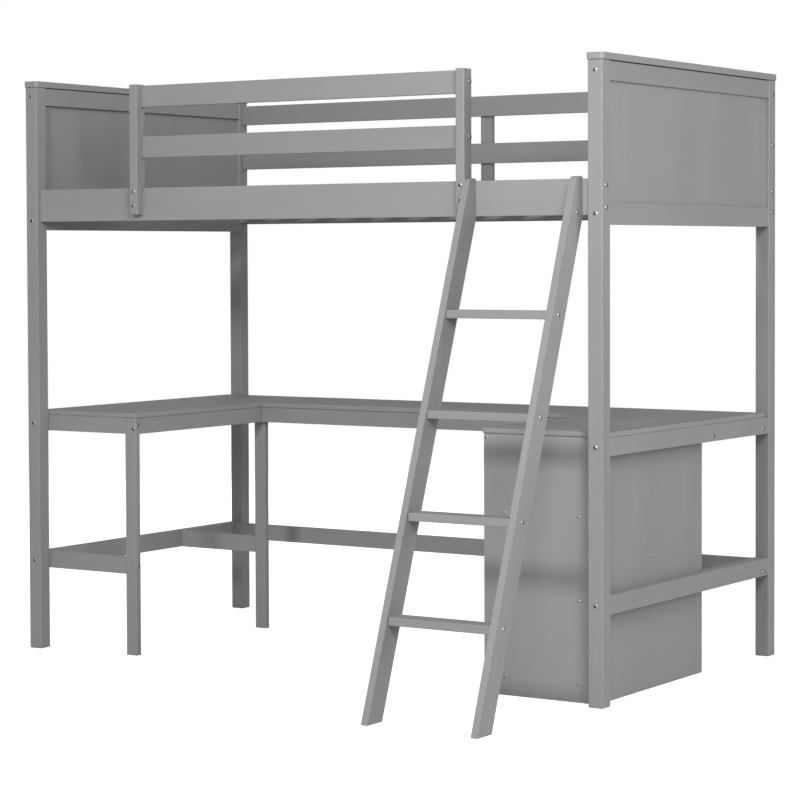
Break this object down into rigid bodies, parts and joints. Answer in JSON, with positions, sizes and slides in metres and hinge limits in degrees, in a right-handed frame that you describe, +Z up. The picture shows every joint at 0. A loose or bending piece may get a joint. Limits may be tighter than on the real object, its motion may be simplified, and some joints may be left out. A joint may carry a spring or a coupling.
{
  "type": "loft bed with desk",
  "caption": "High single bed on square posts over a U-shaped desk, with a leaning ladder, guard rails and a drawer pedestal.",
  "frame": {"origin": "middle of the whole footprint, on the floor", "axes": "+X along the bed from the left end to the drawer end, +Y from the ladder side to the wall side, +Z up"},
  "size_m": [2.008, 1.612, 1.736],
  "materials": {
    "painted_wood": "satin mid-grey paint over fine-grained solid wood and board",
    "bare_wood": "bare sanded softwood slats and drawer boxes",
    "nickel": "satin nickel drawer knobs, with plated bolts and screws",
    "webbing": "black woven slat webbing",
    "nylon": "white nylon drawer runners"
  },
  "bodies": {
    "frame": {"apron_back": "painted_wood", "apron_end_left": "painted_wood", "apron_end_right": "painted_wood", "apron_left_front": "painted_wood", "apron_left_inner": "painted_wood", "apron_middle": "painted_wood", "cabinet_bottom": "painted_wood", "cabinet_divider_1": "painted_wood", "cabinet_divider_2": "painted_wood", "cabinet_panel_front": "painted_wood", "cabinet_panel_rear": "painted_wood", "cabinet_panel_right": "painted_wood", "cabinet_top_rail": "painted_wood", "cap_left": "painted_wood", "cap_right": "painted_wood", "desk_board_left": "painted_wood", "desk_board_middle": "painted_wood", "desk_board_right": "painted_wood", "desk_leg_back": "painted_wood", "desk_leg_front": "painted_wood", "end_bottom_rail_left": "painted_wood", "end_bottom_rail_right": "painted_wood", "end_panel_left": "painted_wood", "end_panel_right": "painted_wood", "end_top_rail_left": "painted_wood", "end_top_rail_right": "painted_wood", "guard_board_back_mid": "painted_wood", "guard_board_back_top": "painted_wood", "guard_board_front_mid": "painted_wood", "guard_board_front_top": "painted_wood", "guard_post_back": "painted_wood", "guard_post_left": "painted_wood", "guard_post_right": "painted_wood", "ladder_rail_left": "painted_wood", "ladder_rail_right": "painted_wood", "ladder_tread_1": "painted_wood", "ladder_tread_2": "painted_wood", "ladder_tread_3": "painted_wood", "ladder_tread_4": "painted_wood", "lower_rail_back": "painted_wood", "lower_rail_left": "painted_wood", "lower_rail_right": "painted_wood", "post_back_left": "painted_wood", "post_back_right": "painted_wood", "post_front_left": "painted_wood", "post_front_right": "painted_wood", "side_rail_back": "painted_wood", "side_rail_front": "painted_wood", "slat_roll": "bare_wood", "stretcher_back": "painted_wood", "stretcher_front": "painted_wood"},
    "drawer_1": {"drawer_1_box": "bare_wood", "drawer_1_front": "painted_wood", "drawer_1_knob": "nickel"},
    "drawer_2": {"drawer_2_box": "bare_wood", "drawer_2_front": "painted_wood", "drawer_2_knob": "nickel"},
    "drawer_3": {"drawer_3_box": "bare_wood", "drawer_3_front": "painted_wood", "drawer_3_knob": "nickel"}
  },
  "joints": [
    {"name": "drawer_1_slide", "type": "slide", "parent": "frame", "child": "drawer_1", "axis": [-1, 0, 0], "range_m": [0, 0.25]},
    {"name": "drawer_2_slide", "type": "slide", "parent": "frame", "child": "drawer_2", "axis": [-1, 0, 0], "range_m": [0, 0.25]},
    {"name": "drawer_3_slide", "type": "slide", "parent": "frame", "child": "drawer_3", "axis": [-1, 0, 0], "range_m": [0, 0.25]}
  ]
}
